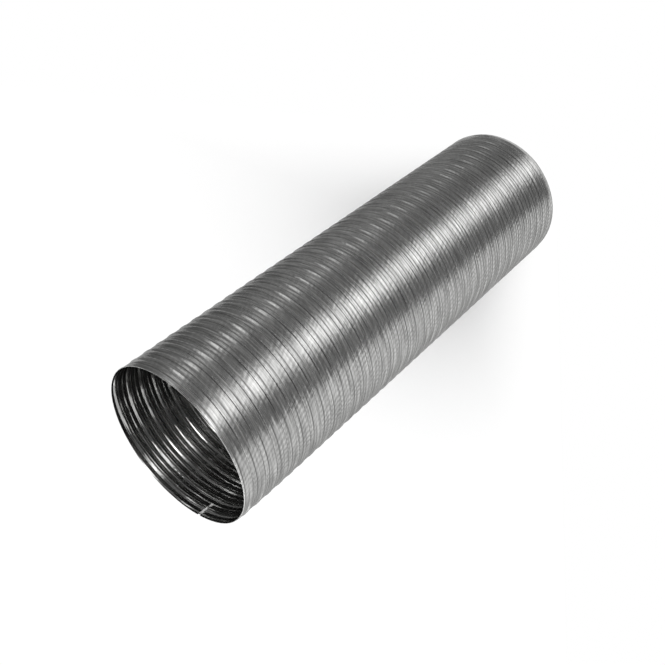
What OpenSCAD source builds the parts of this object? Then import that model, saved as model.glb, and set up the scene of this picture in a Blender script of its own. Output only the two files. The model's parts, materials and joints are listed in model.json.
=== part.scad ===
// Flexible flue liner: one length of corrugated stainless strip, wound edge to edge and locked by a
// folded seam. It stands on its lower cut end, with the mouth at the top.

/* [Liner] */
// Clear bore inside the seams and creases, mm
bore_diameter = 153; // [100:1:250]
// Length of the piece between its two square cuts, mm
liner_length = 500; // [200:10:1000]
// Wall of the formed strip, mm
sheet = 0.5; // [0.4:0.05:0.8]

/* [Winding] */
// Width that each turn of strip covers along the liner, mm
strip_cover = 13.4; // [11:0.1:18]
// Rounded ribs rolled into each turn of strip
ribs_per_turn = 2; // [1:1:3]
// How far the lowest rib of each turn stands out from the creases, mm
rib_height = 0.8; // [0.4:0.05:1.5]
// How far the ribs above it stand out, mm
low_rib_height = 0.55; // [0.3:0.05:1.5]
// Place of a rib's crest across its width, from 0 at its upper edge to 1 at its lower edge
rib_lean = 0.62; // [0.4:0.02:0.7]
// Plain crease left below each rib, mm
crease_width = 0.7; // [0.4:0.1:1.2]

/* [Lock seam] */
// Width of the band where the strip's edges are folded together, mm
seam_width = 3; // [2:0.1:4]
// How far the band's upper edge stands out over the plain strip, mm
seam_start_step = 0.1; // [0.05:0.05:0.2]
// How far the folded edge at its lower side stands out over the plain strip, mm
seam_step = 0.35; // [0.2:0.05:0.6]
// Open gap under the folded edge, mm
lip_gap = 0.5; // [0.3:0.1:0.8]
// Depth of that gap below the face of the plain strip, mm
lip_depth = 0.25; // [0.1:0.05:0.3]

/* [Strip end] */
// Direction of the strip's cut end round the mouth, degrees from +X
strip_end_angle = 139; // [0:1:359]
// Width of the notch that the cut leaves in the mouth's rim, mm
notch_width = 3; // [1:0.5:5]
// Depth of that notch, mm
notch_depth = 1.2; // [0.4:0.2:1.4]
// Width of the strip's end, pressed flat across the ribs inside the mouth, mm
flat_end_width = 2.5; // [1:0.5:5]

/* [Hidden] */

$fn = 96;
flank_steps = 3;
cut_margin = 1;
bore_r = bore_diameter / 2;
plain_r = bore_r + sheet;
seam_start_r = plain_r + seam_start_step;
seam_r = plain_r + seam_step;
turns = round((liner_length - seam_width) / strip_cover);
turn_pitch = (liner_length - seam_width) / turns;
flat_end_root = seam_width * 0.75;
rib_width = (turn_pitch - seam_width - lip_gap) / ribs_per_turn - crease_width;

// Distance of a rib's start below the mouth
function rib_start(turn, rib) =
    turn * turn_pitch + seam_width + lip_gap + rib * (rib_width + crease_width);

function height_of(rib) = rib == ribs_per_turn - 1 ? rib_height : low_rib_height;

// One rib on a wall of the given radius, from its upper edge down, as [radius, depth below the mouth].
// Both flanks are smooth waves that meet at the crest
function rib_points(radius, turn, rib) = concat(
    [for (i = [0 : flank_steps])
        [radius + height_of(rib) * pow(sin(90 * i / flank_steps), 2),
         rib_start(turn, rib) + rib_width * rib_lean * i / flank_steps]],
    [for (i = [1 : flank_steps])
        [radius + height_of(rib) * pow(cos(90 * i / flank_steps), 2),
         rib_start(turn, rib) + rib_width * (rib_lean + (1 - rib_lean) * i / flank_steps)]]
);

// Outer side of one turn: the seam band, the gap under its open lip, then the ribs
function turn_outside(turn) = concat(
    [[seam_start_r, turn * turn_pitch],
     [seam_r, turn * turn_pitch + seam_width],
     [plain_r - lip_depth, turn * turn_pitch + seam_width],
     [plain_r - lip_depth, turn * turn_pitch + seam_width + lip_gap / 2]],
    [for (rib = [0 : ribs_per_turn - 1]) each rib_points(plain_r, turn, rib)]
);

// Inner side of one turn: the ribs alone, because the seam band and creases are all at the bore
function turn_inside(turn) =
    [for (rib = [0 : ribs_per_turn - 1]) each rib_points(bore_r, turn, rib)];

function reversed(points) = [for (i = [len(points) - 1 : -1 : 0]) points[i]];

outside = [for (turn = [0 : turns - 1]) each turn_outside(turn)];
inside = [for (turn = [0 : turns - 1]) each turn_inside(turn)];
wall_section = concat(
    outside,
    [[seam_start_r, turns * turn_pitch], [seam_r, liner_length], [bore_r, liner_length]],
    reversed(inside),
    [[bore_r, 0]]
);

// Wound wall, closed at each end by one more seam band where the liner is cut square
module wound_wall() {
    rotate_extrude()
        polygon([for (p = wall_section) [p[0], liner_length - p[1]]]);
}

// End of the strip, pressed flat across the hollows of the ribs between the first two seam bands
module flattened_end() {
    end_angle = flat_end_width / bore_r * 180 / PI;
    rotate([0, 0, strip_end_angle])
        translate([0, 0, liner_length - turn_pitch - flat_end_root])
            rotate_extrude(angle = end_angle)
                translate([bore_r + sheet / 4, 0])
                    square([sheet / 2, turn_pitch]);
}

// Notch left in the rim where the strip's corner was cut away
module rim_notch() {
    rotate([0, 0, strip_end_angle])
        translate([bore_r - cut_margin, -notch_width / 2, liner_length - notch_depth])
            cube([sheet + seam_step + 2 * cut_margin, notch_width, notch_depth + cut_margin]);
}

module liner() {
    color("#8c8c8a")
        difference() {
            union() {
                wound_wall();
                flattened_end();
            }
            rim_notch();
        }
}

liner();
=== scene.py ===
import bmesh
import bpy
import json
import math
from mathutils import Matrix, Vector, noise


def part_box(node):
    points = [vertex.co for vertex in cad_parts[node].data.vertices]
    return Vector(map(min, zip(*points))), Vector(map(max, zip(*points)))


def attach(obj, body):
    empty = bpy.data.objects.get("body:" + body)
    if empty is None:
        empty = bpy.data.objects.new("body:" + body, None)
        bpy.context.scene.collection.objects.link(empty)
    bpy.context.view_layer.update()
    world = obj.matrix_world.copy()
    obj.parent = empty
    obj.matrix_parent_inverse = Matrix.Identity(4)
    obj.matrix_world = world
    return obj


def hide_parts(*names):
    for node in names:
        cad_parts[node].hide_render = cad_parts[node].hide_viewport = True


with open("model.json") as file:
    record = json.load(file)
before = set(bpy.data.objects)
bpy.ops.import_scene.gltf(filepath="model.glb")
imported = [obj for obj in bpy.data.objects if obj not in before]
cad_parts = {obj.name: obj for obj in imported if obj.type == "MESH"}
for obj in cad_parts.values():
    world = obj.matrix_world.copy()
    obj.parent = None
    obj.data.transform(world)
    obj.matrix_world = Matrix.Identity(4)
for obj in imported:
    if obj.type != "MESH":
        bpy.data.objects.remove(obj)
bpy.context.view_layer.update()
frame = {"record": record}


# Wound wall
# One stainless strip, about 17 mm wide and 0.12 mm thick, rolled with two ribs and wound left-handed on a
# mandrel. Its edges are folded into each other as it goes, and the piece is cut off square at both ends.

liner_low, liner_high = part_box("liner")
liner_length = liner_high.z - liner_low.z
crest_radius = (liner_high.x - liner_low.x) / 2
mouth_bore = next(mount for mount in frame["record"]["mounts"] if mount["name"] == "mouth_bore")
bore_radius = mouth_bore["dims"]["r_mm"] / 1000
sheet = 0.0005
plain_radius = bore_radius + sheet
rib_heights = (0.0003, crest_radius - plain_radius)
crest_place = 0.62
flank_steps = 3
crease_width = 0.0007
seam_width = 0.003
seam_start_step = 0.0001
seam_step = 0.00035
lip_gap = 0.0005
lip_depth = 0.00025
inner_fold = 0.0003
turns = 37
spare_turns = 2
turn_pitch = (liner_length - seam_width) / turns
rib_width = (turn_pitch - seam_width - lip_gap) / len(rib_heights) - crease_width
steps_per_turn = 64
winding_start = math.radians(-90)
joint_reach = 1e-6
sharp_corner = math.radians(50)


def rib_points(radius):
    """The ribs of one turn in a wall of that radius, as (radius, distance below the turn's top)."""
    points = []
    top = seam_width + lip_gap
    crest = rib_width * crest_place
    for height in rib_heights:
        for i in range(flank_steps + 1):
            rise = math.sin(math.pi / 2 * i / flank_steps) ** 2
            points.append((radius + height * rise, top + crest * i / flank_steps))
        for i in range(1, flank_steps + 1):
            rise = math.cos(math.pi / 2 * i / flank_steps) ** 2
            points.append((radius + height * rise, top + crest + (rib_width - crest) * i / flank_steps))
        top += rib_width + crease_width
    return points


# The seam band swells towards its folded lip, and the gap under that lip stays open.
outer_section = [
    (plain_radius + seam_start_step, 0),
    (plain_radius + seam_start_step * 1.3, seam_width * 0.4),
    (plain_radius + seam_step, seam_width * 0.85),
    (plain_radius + seam_step * 0.8, seam_width),
    (plain_radius - lip_depth, seam_width + lip_gap * 0.1),
    (plain_radius - lip_depth, seam_width + lip_gap * 0.5),
] + rib_points(plain_radius) + [(plain_radius + seam_start_step, turn_pitch)]
inner_section = [
    (bore_radius + inner_fold, 0),
    (bore_radius + inner_fold * 0.5, seam_width * 0.12),
    (bore_radius, seam_width * 0.3),
    (bore_radius, seam_width + lip_gap * 0.6),
] + rib_points(bore_radius + inner_fold) + [(bore_radius + inner_fold, turn_pitch)]

wall = bmesh.new()
first_height = liner_high.z + spare_turns * turn_pitch
for finish, section in enumerate((outer_section, inner_section)):
    points = [wall.verts.new((radius, 0, first_height - depth)) for radius, depth in section]
    lines = [wall.edges.new(pair) for pair in zip(points, points[1:])]
    bmesh.ops.rotate(wall, verts=points, matrix=Matrix.Rotation(winding_start, 3, "Z"))
    bmesh.ops.spin(
        wall, geom=points + lines, axis=(0, 0, 1), angle=math.tau, steps=steps_per_turn,
        dvec=(0, 0, -turn_pitch / steps_per_turn), use_merge=False,
    )
    for face in wall.faces[-len(lines) * steps_per_turn:]:
        face.material_index = finish
turns_made = 1
while turns_made < turns + 2 * spare_turns:
    copied = bmesh.ops.duplicate(wall, geom=wall.verts[:] + wall.edges[:] + wall.faces[:])
    next_turns = [part for part in copied["geom"] if isinstance(part, bmesh.types.BMVert)]
    bmesh.ops.translate(wall, verts=next_turns, vec=(0, 0, -turn_pitch * turns_made))
    turns_made *= 2
for cut_height, waste_side in ((liner_low.z, -1), (liner_high.z, 1)):
    bmesh.ops.bisect_plane(
        wall, geom=wall.verts[:] + wall.edges[:] + wall.faces[:], dist=joint_reach / 10,
        plane_co=(0, 0, cut_height), plane_no=(0, 0, waste_side), clear_outer=True,
    )
bmesh.ops.remove_doubles(wall, verts=wall.verts, dist=joint_reach)

# The strip's corner was snipped off at the mouth, which leaves a small notch in the rim.
strip_end_side = math.radians(139)
notch_width = 0.003
notch_depth = 0.0012
notch_floor = liner_high.z - notch_depth
notch_zone = bore_radius * 0.9
outwards = Vector((math.cos(strip_end_side), math.sin(strip_end_side), 0))
sideways = Vector((-outwards.y, outwards.x, 0))


def on_plane(vert, place, normal):
    """Whether a vertex near the notch lies on that plane."""
    return vert.co.dot(outwards) > notch_zone and abs((vert.co - place).dot(normal)) < joint_reach


notch_sides = ((sideways * notch_width / 2, sideways), (sideways * -notch_width / 2, -sideways))
notch_planes = notch_sides + ((Vector((0, 0, notch_floor)), Vector((0, 0, -1))),)
for place, normal in notch_planes:
    near = [
        face for face in wall.faces
        if face.calc_center_median().dot(outwards) > notch_zone
        and face.calc_center_median().z > notch_floor - turn_pitch
    ]
    around = dict.fromkeys(part for face in near for part in (*face.verts, *face.edges))
    bmesh.ops.bisect_plane(
        wall, geom=near + list(around), dist=joint_reach / 10, plane_co=place, plane_no=normal,
    )
inside_notch = [
    face for face in wall.faces
    if face.calc_center_median().dot(outwards) > 0
    and all((face.calc_center_median() - place).dot(normal) < 0 for place, normal in notch_planes)
]
bmesh.ops.delete(wall, geom=inside_notch, context="FACES")
for place, normal in notch_sides:
    for height in (notch_floor, liner_high.z):
        corner = [v for v in wall.verts if on_plane(v, place, normal) and abs(v.co.z - height) < joint_reach]
        corner = [vert for vert in corner if any(edge.is_boundary for edge in vert.link_edges)]
        wall.edges.new(corner)
for place, normal in notch_planes:
    loop = [
        edge for edge in wall.edges
        if (edge.is_boundary or edge.is_wire) and all(on_plane(vert, place, normal) for vert in edge.verts)
        and all(vert.co.z > notch_floor - joint_reach for vert in edge.verts)
    ]
    bmesh.ops.triangle_fill(wall, edges=loop, use_beauty=True)
cut_edge_place = 2
for cut_height in (liner_low.z, liner_high.z):
    rim = [
        edge for edge in wall.edges
        if edge.is_boundary and all(abs(vert.co.z - cut_height) < joint_reach * 10 for vert in edge.verts)
    ]
    filled = bmesh.ops.triangle_fill(wall, edges=rim, use_beauty=True)
    for part in filled["geom"]:
        if isinstance(part, bmesh.types.BMFace):
            part.material_index = cut_edge_place
bmesh.ops.recalc_face_normals(wall, faces=wall.faces)

# The wall is never quite round: it has shallow hollows, and the mouth is pressed in a little on one side.
hollow_depth = 0.00015
hollow_size = 0.045
pressed_depth = 0.0012
pressed_reach = 0.07
pressed_side = Vector((-0.94, 0.34, 0))


def uneven(place):
    """A point of the round wall, moved in to where the hollows and the pressed mouth leave it."""
    outwards = Vector((place.x, place.y, 0)).normalized()
    hollow = hollow_depth * (0.5 + 0.5 * noise.noise(place / hollow_size))
    nearness = max(0, 1 - (liner_high.z - place.z) / pressed_reach)
    pressed = pressed_depth * nearness ** 2 * max(0, outwards.dot(pressed_side)) ** 2
    return place - outwards * (max(0, hollow) + pressed)


for vert in wall.verts:
    vert.co = uneven(vert.co)
for face in wall.faces:
    face.smooth = True
for edge in wall.edges:
    edge.smooth = edge.calc_face_angle(0) < sharp_corner
wall_mesh = bpy.data.meshes.new("wound_wall")
wall.to_mesh(wall_mesh)
wall.free()
wound_wall = bpy.data.objects.new("wound_wall", wall_mesh)
bpy.context.scene.collection.objects.link(wound_wall)
steel = bpy.data.node_groups.new("wound_strip", "ShaderNodeTree")
nodes = steel.nodes
links = steel.links


def feed(node, values):
    """Sets a node's inputs in their order from other nodes' outputs or from plain numbers."""
    for socket, value in zip(node.inputs, values):
        if isinstance(value, bpy.types.NodeSocket):
            links.new(value, socket)
        else:
            socket.default_value = value


def computed(operation, *values):
    """The outcome of a Math node."""
    node = nodes.new("ShaderNodeMath")
    node.operation = operation
    feed(node, values)
    return node.outputs["Value"]


def placed(*values):
    """A vector from up to three separate numbers."""
    node = nodes.new("ShaderNodeCombineXYZ")
    feed(node, values)
    return node.outputs["Vector"]


def ranged(value, low, high, new_low, new_high):
    """The value carried over from one range to another, and held inside it."""
    node = nodes.new("ShaderNodeMapRange")
    feed(node, (value, low, high, new_low, new_high))
    return node.outputs["Result"]


def mottled(place, size, detail):
    """Soft noise from 0 to 1, with spots of about that size in metres."""
    node = nodes.new("ShaderNodeTexNoise")
    node.inputs["Scale"].default_value = 1 / size
    node.inputs["Detail"].default_value = detail
    links.new(place, node.inputs["Vector"])
    return node.outputs["Fac"]


# Each point's place on the unwound strip: metres along it, and its share of the way across a turn.
coordinates = nodes.new("ShaderNodeTexCoord")
axes = nodes.new("ShaderNodeSeparateXYZ")
links.new(coordinates.outputs["Object"], axes.inputs["Vector"])
side = computed("ARCTAN2", axes.outputs["Y"], axes.outputs["X"])
turned = computed("DIVIDE", computed("SUBTRACT", side, winding_start), math.tau)
turns_down = computed("DIVIDE", computed("SUBTRACT", liner_high.z, axes.outputs["Z"]), turn_pitch)
turn_place = computed("SUBTRACT", turns_down, turned)
across = computed("FRACT", turn_place)
across_metres = computed("MULTIPLY", across, turn_pitch)
along = computed("MULTIPLY", computed("ADD", computed("FLOOR", turn_place), turned), math.tau * plain_radius)


def streaked(size, stretch, layer, detail):
    """Soft noise from 0 to 1 in spots of about that size across the strip, drawn out along it."""
    return mottled(placed(computed("MULTIPLY", along, stretch), across_metres, layer), size, detail)


# Roll lines run along the strip. Winding leaves it wavy, with slanting chatter marks from the rollers.
chatter_slant = 0.6
chatter_stretch = 0.18
chatter_size = 0.003
drift_size = 0.02
roll_lines = streaked(size=0.00026, stretch=0.02, layer=0, detail=2)
fine_lines = streaked(size=0.0016, stretch=0.06, layer=7, detail=2)
waves = streaked(size=0.0024, stretch=0.45, layer=0, detail=1)
handling = streaked(size=0.038, stretch=0.6, layer=axes.outputs["Z"], detail=3)
slanted = computed("SUBTRACT", along, computed("MULTIPLY", across_metres, chatter_slant))
chatter = mottled(placed(slanted, computed("MULTIPLY", across_metres, chatter_stretch), 0), chatter_size, 0)
drift = mottled(placed(along, across_metres, 3), drift_size, 1)

# Faint stripes slant across the strip, and fine ridges run along it on the inside.
stripe_spacing = 0.005
stripe_drift = 6
ridges_per_turn = 5
ridge_drift = 3
stripe_turn = computed("MULTIPLY", slanted, math.tau / stripe_spacing)
stripe_turn = computed("ADD", stripe_turn, computed("MULTIPLY", drift, stripe_drift))
stripes = computed("MULTIPLY", computed("SINE", stripe_turn), ranged(drift, 0.35, 0.6, 0.25, 1))
ridge_turn = computed("MULTIPLY", across, math.tau * ridges_per_turn)
ridge_lines = computed("SINE", computed("ADD", ridge_turn, computed("MULTIPLY", drift, ridge_drift)))

# A row of small dents runs down the inside, two to a turn.
dent_angle = math.radians(110.6)
dent_spacing = 0.0067
dent_size = 0.002
dent_wander = 0.002
dent_strength = 7
dent_side = computed("MULTIPLY", computed("SUBTRACT", side, dent_angle), bore_radius)
dent_side = computed("ADD", dent_side, ranged(drift, 0.3, 0.7, -dent_wander, dent_wander))
half_turn = computed("FRACT", computed("MULTIPLY", across, 2))
dent_up = computed("MULTIPLY", computed("SUBTRACT", half_turn, 0.5), dent_spacing)
dent_reach = computed("SQRT", computed("ADD", computed("POWER", dent_side, 2), computed("POWER", dent_up, 2)))
dents = ranged(dent_reach, 0, dent_size, dent_strength, 0)

# A band just below the rim is painted lighter: a painted highlight along the cut edge.
rim_highlight_start = liner_high.z - 0.0022
rim_highlight_end = liner_high.z - 0.0012
painted_rim_highlight = ranged(axes.outputs["Z"], rim_highlight_start, rim_highlight_end, 0, 1)
# Painted shade: the tone is darkened in one line on every turn, over the seam's lip groove and a little
# around it.
lip_start = seam_width / turn_pitch
lip_end = (seam_width + lip_gap) / turn_pitch
shade_above_lip = 0.04
shade_below_lip = 0.09
painted_lip_shade = computed(
    "MULTIPLY",
    ranged(across, lip_start - shade_above_lip, lip_start, 0, 1),
    ranged(across, lip_end, lip_end + shade_below_lip, 1, 0),
)

for name in ("Tone", "Dullness", "Ridges", "Waviness"):
    steel.interface.new_socket(name, in_out="INPUT", socket_type="NodeSocketFloat")
steel.interface.new_socket("Color", in_out="OUTPUT", socket_type="NodeSocketColor")
steel.interface.new_socket("Roughness", in_out="OUTPUT", socket_type="NodeSocketFloat")
steel.interface.new_socket("Normal", in_out="OUTPUT", socket_type="NodeSocketVector")
given = nodes.new("NodeGroupInput")
result = nodes.new("NodeGroupOutput")
# The ripples are real relief. Their stripes are also painted into the tone, strongest on one side, as a
# painted reflection of the light they catch there.
stripe_sheen_side = math.radians(-129)
from_stripe_sheen = computed("ABSOLUTE", computed("SUBTRACT", side, stripe_sheen_side))
painted_stripe_sheen = computed("MULTIPLY", stripes, ranged(from_stripe_sheen, 0.25, 0.4, 1, 0.2))
# Each effect with its lowest and highest value, and the share of the tone that it leaves at each.
shades = (
    (painted_lip_shade, 0, 1, 1, 0.5),
    (painted_stripe_sheen, -1, 1, 0.8, 1.2),
    (fine_lines, 0.36, 0.64, 0.76, 1.24),
    (chatter, 0.25, 0.75, 0.95, 1.05),
    (painted_rim_highlight, 0, 1, 1, 1.2),
)
tone = computed("ADD", ranged(handling, 0.3, 0.7, 0.92, 1.08), ranged(roll_lines, 0.3, 0.7, -0.04, 0.04))
for shade in shades:
    tone = computed("MULTIPLY", tone, ranged(*shade))
tone = computed("MULTIPLY", tone, given.outputs["Tone"])
blue_share = 0.985
links.new(placed(tone, tone, computed("MULTIPLY", tone, blue_share)), result.inputs["Color"])
dullness = computed("ADD", ranged(handling, 0.3, 0.7, 0.03, -0.03), ranged(roll_lines, 0.3, 0.7, -0.03, 0.03))
dullness = computed("ADD", dullness, given.outputs["Dullness"])
links.new(computed("ADD", dullness, ranged(painted_lip_shade, 0, 1, 0, 0.25)), result.inputs["Roughness"])
relief = nodes.new("ShaderNodeBump")
relief.inputs["Distance"].default_value = 1
wave_height = 0.00012
chatter_height = 0.00008
wave_depths = computed("MULTIPLY", waves, wave_height)
depths = computed("ADD", wave_depths, computed("MULTIPLY", chatter, chatter_height))
depths = computed("MULTIPLY", depths, given.outputs["Waviness"])
# The other marks with their heights in metres.
marks = (
    (stripes, 0.000012),
    (computed("ADD", ridge_lines, dents), given.outputs["Ridges"]),
    (roll_lines, 0.000003),
    (fine_lines, 0.00002),
)
for mark, height in marks:
    depths = computed("ADD", depths, computed("MULTIPLY", mark, height))
links.new(depths, relief.inputs["Height"])
links.new(relief.outputs["Normal"], result.inputs["Normal"])

# Each finish's name, its metallic share, and what it gives to the node group.
glancing_tint = (0.45, 0.45, 0.45, 1)
finishes = (
    ("outer_face", 1, {"Tone": 0.46, "Dullness": 0.24, "Ridges": 0, "Waviness": 1}),
    ("inner_face", 0.98, {"Tone": 0.48, "Dullness": 0.08, "Ridges": 0.00008, "Waviness": 0.4}),
    ("cut_edge", 0.4, {"Tone": 0.85, "Dullness": 0.4, "Ridges": 0, "Waviness": 0}),
)
for name, metallic, looks in finishes:
    finish = bpy.data.materials.new(name)
    finish.use_nodes = True
    shader = finish.node_tree.nodes["Principled BSDF"]
    shader.inputs["Metallic"].default_value = metallic
    shader.inputs["Specular Tint"].default_value = glancing_tint
    surface = finish.node_tree.nodes.new("ShaderNodeGroup")
    surface.node_tree = steel
    for look, amount in looks.items():
        surface.inputs[look].default_value = amount
    finish.node_tree.links.new(surface.outputs["Color"], shader.inputs["Base Color"])
    finish.node_tree.links.new(surface.outputs["Roughness"], shader.inputs["Roughness"])
    finish.node_tree.links.new(surface.outputs["Normal"], shader.inputs["Normal"])
    wound_wall.data.materials.append(finish)
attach(wound_wall, "root")
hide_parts("liner")


# Strip end
# The first end of the strip, snipped across and pressed flat over the ribs inside the mouth, below the notch.

flat_end_width = 0.0025
flat_end_thickness = 0.00025
flat_end_top = liner_high.z - seam_width * 0.75
flat_end_narrowing = 0.3
flat_end_sweep = 0.0012
flat_end_gap = 0.0001
flat_end_wave = 0.0001
flat_end_waves = 1.5
flat_end_tilt = 0.08
strip_end_mesh = bmesh.new()
bmesh.ops.create_grid(strip_end_mesh, x_segments=3, y_segments=10, size=0.5)
bmesh.ops.scale(strip_end_mesh, verts=strip_end_mesh.verts, vec=(flat_end_width, turn_pitch, 1))
bmesh.ops.solidify(strip_end_mesh, geom=strip_end_mesh.faces[:], thickness=flat_end_thickness)
middle = sum(vert.co.z for vert in strip_end_mesh.verts) / len(strip_end_mesh.verts)
for vert in strip_end_mesh.verts:
    share = vert.co.y / turn_pitch + 0.5
    offset = vert.co.x * (1 - flat_end_narrowing + flat_end_narrowing * share)
    turn = strip_end_side + (offset + flat_end_sweep * (1 - share) ** 2) / bore_radius
    distance = bore_radius + flat_end_gap + vert.co.z - middle
    distance += flat_end_wave * math.sin(share * math.tau * flat_end_waves)
    distance += flat_end_tilt * vert.co.x
    height = flat_end_top - turn_pitch * (1 - share)
    vert.co = uneven(Vector((distance * math.cos(turn), distance * math.sin(turn), height)))
bmesh.ops.recalc_face_normals(strip_end_mesh, faces=strip_end_mesh.faces)
end_mesh = bpy.data.meshes.new("strip_end")
strip_end_mesh.to_mesh(end_mesh)
strip_end_mesh.free()
strip_end = bpy.data.objects.new("strip_end", end_mesh)
bpy.context.scene.collection.objects.link(strip_end)
# A pale finish without metal on the strip end: a painted highlight standing in for the glint that the steel
# catches there.
painted_glint_finish = bpy.data.materials["cut_edge"].copy()
painted_glint_finish.name = "pressed_end_painted_glint"
painted_glint_finish.node_tree.nodes["Principled BSDF"].inputs["Metallic"].default_value = 0
strip_end.data.materials.append(painted_glint_finish)
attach(strip_end, "root")


# Camera, table and lamps
# The camera looks into the mouth from above. The liner stands near the corner of a pale table, and the dark
# room past the table's edge shows in the steel between the tall soft lamps.

camera_place = Vector((0, -0.615, 0.759))
camera_aim = Vector((-0.0064, 0, 0.3047))
camera_roll = math.radians(-128.704)
focal_length_px = 805.53
photo_width_px = 665
camera_data = bpy.data.cameras.new("camera")
camera_data.sensor_width = 36
camera_data.lens = camera_data.sensor_width * focal_length_px / photo_width_px
camera_data.clip_start = 0.01
camera = bpy.data.objects.new("camera", camera_data)
bpy.context.scene.collection.objects.link(camera)
upright = (camera_aim - camera_place).to_track_quat("-Z", "Y").to_matrix().to_4x4()
camera.matrix_world = Matrix.Translation(camera_place) @ upright @ Matrix.Rotation(camera_roll, 4, "Z")
bpy.context.scene.camera = camera

table_size = 14
table_turn = math.radians(49.5)
table_margin = 0.002
table_corner = Matrix.Rotation(table_turn, 3, "Z") @ Vector((-1, -1, 0)) * (crest_radius + table_margin)
table_top = bmesh.new()
bmesh.ops.create_grid(table_top, x_segments=1, y_segments=1, size=table_size / 2)
bmesh.ops.translate(table_top, verts=table_top.verts, vec=(table_size / 2, table_size / 2, 0))
bmesh.ops.rotate(table_top, verts=table_top.verts, matrix=Matrix.Rotation(table_turn, 3, "Z"))
bmesh.ops.translate(table_top, verts=table_top.verts, vec=table_corner)
near_corner = min(table_top.verts, key=lambda vert: (vert.co - table_corner).length)
bmesh.ops.bevel(
    table_top, geom=[near_corner], offset=crest_radius + table_margin, segments=32, profile=0.5,
    affect="VERTICES", material=-1,
)
table_mesh = bpy.data.meshes.new("table_top")
table_top.to_mesh(table_mesh)
table_top.free()
table = bpy.data.objects.new("table_top", table_mesh)
bpy.context.scene.collection.objects.link(table)
table_paint = bpy.data.materials.new("table_paint")
table_paint.use_nodes = True
table_shader = table_paint.node_tree.nodes["Principled BSDF"]
table_shader.inputs["Roughness"].default_value = 0.9
table_shader.inputs["Emission Color"].default_value = (1, 1, 1, 1)
table.data.materials.append(table_paint)


def seen_white(material):
    """Strength 1 for camera, glossy and transmission rays, so that a white backdrop lights nothing."""
    rays = material.node_tree.nodes.new("ShaderNodeLightPath")
    strength = rays.outputs["Is Camera Ray"]
    for kind in ("Is Glossy Ray", "Is Transmission Ray"):
        total = material.node_tree.nodes.new("ShaderNodeMath")
        total.use_clamp = True
        material.node_tree.links.new(strength, total.inputs[0])
        material.node_tree.links.new(rays.outputs[kind], total.inputs[1])
        strength = total.outputs["Value"]
    return strength


def carried(tree, value, low, high, new_low, new_high, interpolation):
    """A value of a node tree carried over from one range to another, and held inside it."""
    node = tree.nodes.new("ShaderNodeMapRange")
    node.interpolation_type = interpolation
    node.inputs["From Min"].default_value = low
    node.inputs["From Max"].default_value = high
    node.inputs["To Min"].default_value = new_low
    node.inputs["To Max"].default_value = new_high
    tree.links.new(value, node.inputs["Value"])
    return node.outputs["Result"]


# The table turns from lit paint near the liner to the white of the backdrop far from it.
paint_tone = 0.95
fade_start = 0.2
fade_end = 0.8
edge_fade_start = -crest_radius - table_margin
edge_fade_end = 0.05
table_tree = table_paint.node_tree
table_place = table_tree.nodes.new("ShaderNodeTexCoord")
table_distance = table_tree.nodes.new("ShaderNodeVectorMath")
table_distance.operation = "LENGTH"
table_tree.links.new(table_place.outputs["Object"], table_distance.inputs[0])
paleness = carried(table_tree, table_distance.outputs["Value"], fade_start, fade_end, 0, 1, "SMOOTHSTEP")
for turn in (table_turn, table_turn + math.radians(90)):
    inwards = table_tree.nodes.new("ShaderNodeVectorMath")
    inwards.operation = "DOT_PRODUCT"
    inwards.inputs[1].default_value = (math.cos(turn), math.sin(turn), 0)
    table_tree.links.new(table_place.outputs["Object"], inwards.inputs[0])
    edge_white = carried(
        table_tree, inwards.outputs["Value"], edge_fade_start, edge_fade_end, 1, 0, "SMOOTHSTEP",
    )
    palest = table_tree.nodes.new("ShaderNodeMath")
    palest.operation = "MAXIMUM"
    table_tree.links.new(paleness, palest.inputs[0])
    table_tree.links.new(edge_white, palest.inputs[1])
    paleness = palest.outputs["Value"]
near_paint = carried(table_tree, paleness, 0, 1, paint_tone, 0, "LINEAR")
table_tree.links.new(near_paint, table_shader.inputs["Base Color"])
far_glow = table_tree.nodes.new("ShaderNodeMath")
far_glow.operation = "MULTIPLY"
table_tree.links.new(paleness, far_glow.inputs[0])
table_tree.links.new(seen_white(table_paint), far_glow.inputs[1])
table_tree.links.new(far_glow.outputs["Value"], table_shader.inputs["Emission Strength"])

# Past the table's edge a second sheet, well below it, shows white behind the liner.
backdrop_corner = Vector((0.1, -0.1, -0.8))
panel_mesh = table_mesh.copy()
panel_mesh.transform(Matrix.Translation(backdrop_corner - table_corner))
panel = bpy.data.objects.new("lit_backdrop", panel_mesh)
bpy.context.scene.collection.objects.link(panel)
panel_glow = bpy.data.materials.new("lit_backdrop")
panel_glow.use_nodes = True
panel_shader = panel_glow.node_tree.nodes["Principled BSDF"]
panel_shader.inputs["Base Color"].default_value = (0, 0, 0, 1)
panel_shader.inputs["Roughness"].default_value = 1
panel_shader.inputs["Specular IOR Level"].default_value = 0
panel_shader.inputs["Emission Color"].default_value = (1, 1, 1, 1)
panel_glow.node_tree.links.new(seen_white(panel_glow), panel_shader.inputs["Emission Strength"])
panel_mesh.materials.clear()
panel_mesh.materials.append(panel_glow)

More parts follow.
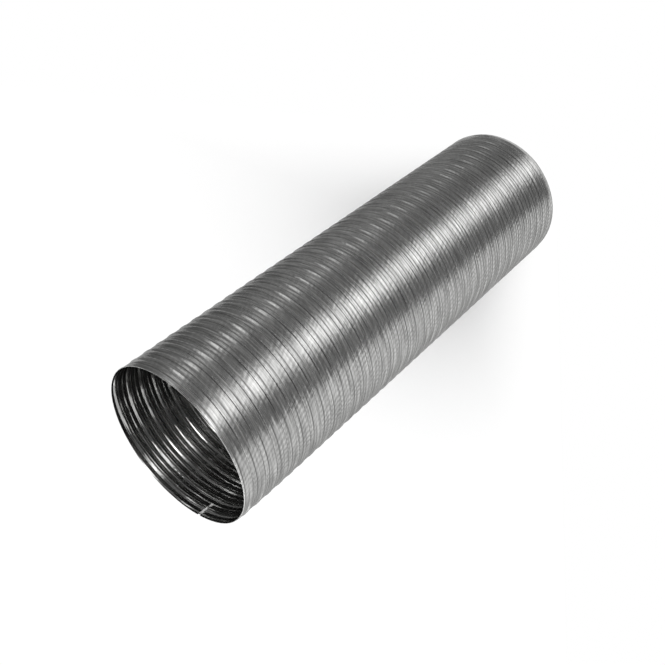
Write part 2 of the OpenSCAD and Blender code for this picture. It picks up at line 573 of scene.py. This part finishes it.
# The room is dim, and darker overhead and straight below. Directions run from -1 below to 1 overhead.
room_tone = 0.21
overhead_tone = 0.04
overhead_start = 0.2
overhead_end = 0.6
below_share = 0.2
below_start = -0.86
below_end = -0.94
room = bpy.context.scene.world or bpy.data.worlds.new("room")
bpy.context.scene.world = room
room.use_nodes = True
room_tree = room.node_tree
background = room_tree.nodes["Background"]
background.inputs["Color"].default_value = (1, 1, 1, 1)
direction = room_tree.nodes.new("ShaderNodeTexCoord")
direction_axes = room_tree.nodes.new("ShaderNodeSeparateXYZ")
room_tree.links.new(direction.outputs["Generated"], direction_axes.inputs["Vector"])
upwards = direction_axes.outputs["Z"]
overhead = carried(room_tree, upwards, overhead_start, overhead_end, room_tone, overhead_tone, "LINEAR")
below = carried(room_tree, upwards, below_end, below_start, below_share, 1, "LINEAR")
room_strength = room_tree.nodes.new("ShaderNodeMath")
room_strength.operation = "MULTIPLY"
room_tree.links.new(overhead, room_strength.inputs[0])
room_tree.links.new(below, room_strength.inputs[1])
room_tree.links.new(room_strength.outputs["Value"], background.inputs["Strength"])


def upright_lamp(name, azimuth, spread, low, high, distance, radiance, fade):
    """An upright soft lamp that faces the liner. The azimuth in degrees is counted from the camera's side,
    and the spread is the angle that the lamp fills, seen from the liner."""
    lamp_data = bpy.data.lights.new(name, "AREA")
    lamp_data.use_nodes = True
    lamp_tree = lamp_data.node_tree
    face_place = lamp_tree.nodes.new("ShaderNodeNewGeometry")
    face_axes = lamp_tree.nodes.new("ShaderNodeSeparateXYZ")
    lamp_tree.links.new(face_place.outputs["Parametric"], face_axes.inputs["Vector"])
    from_edge = lamp_tree.nodes.new("ShaderNodeMath")
    from_edge.operation = "PINGPONG"
    from_edge.inputs[1].default_value = 0.5
    lamp_tree.links.new(face_axes.outputs["X"], from_edge.inputs[0])
    glow = carried(lamp_tree, from_edge.outputs["Value"], 0, fade, 0, 1, "SMOOTHSTEP")
    lamp_tree.links.new(glow, lamp_tree.nodes["Emission"].inputs["Strength"])
    lamp_data.shape = "RECTANGLE"
    lamp_data.size = 2 * distance * math.tan(math.radians(spread / 2))
    lamp_data.size_y = high - low
    lamp_data.energy = radiance * math.pi * lamp_data.size * lamp_data.size_y
    lamp = bpy.data.objects.new(name, lamp_data)
    bpy.context.scene.collection.objects.link(lamp)
    lamp.location = Matrix.Rotation(math.radians(azimuth), 3, "Z") @ Vector((0, -distance, (low + high) / 2))
    lamp.rotation_euler = (math.radians(90), 0, math.radians(azimuth))
    lamp.visible_camera = False


# Each lamp's name, azimuth, spread, lower and upper end, distance, radiance, and the share that fades.
upright_lamp("front_lamp", 1.5, 47, -3.2, 3.4, 1.6, 1.75, 0.5)
upright_lamp("left_lamp", -94, 92, -2.6, 1.3, 1.8, 0.73, 0.1)
upright_lamp("back_lamp", -153, 48, 0.02, 2.4, 1.8, 1.1, 0.1)
upright_lamp("right_lamp_floor", 66, 40, -9, -3.2, 5, 0.16, 0.5)
upright_lamp("right_lamp_foot", 66, 30, -3.2, -1.45, 5, 0.35, 0.5)
upright_lamp("right_lamp_low", 66, 30, -1.45, -0.15, 5, 0.75, 0.5)
upright_lamp("right_lamp_high", 66, 30, -0.15, 1.6, 5, 1.35, 0.5)
upright_lamp("side_lamp", 110, 60, -2.8, -0.7, 1.8, 0.19, 0.2)

sun_data = bpy.data.lights.new("high_light", "SUN")
sun_data.energy = 2.7
sun_data.angle = math.radians(50)
high_light = bpy.data.objects.new("high_light", sun_data)
bpy.context.scene.collection.objects.link(high_light)
high_light.rotation_euler = (math.radians(30), 0, math.radians(2))

bpy.context.scene.view_settings.view_transform = "Standard"
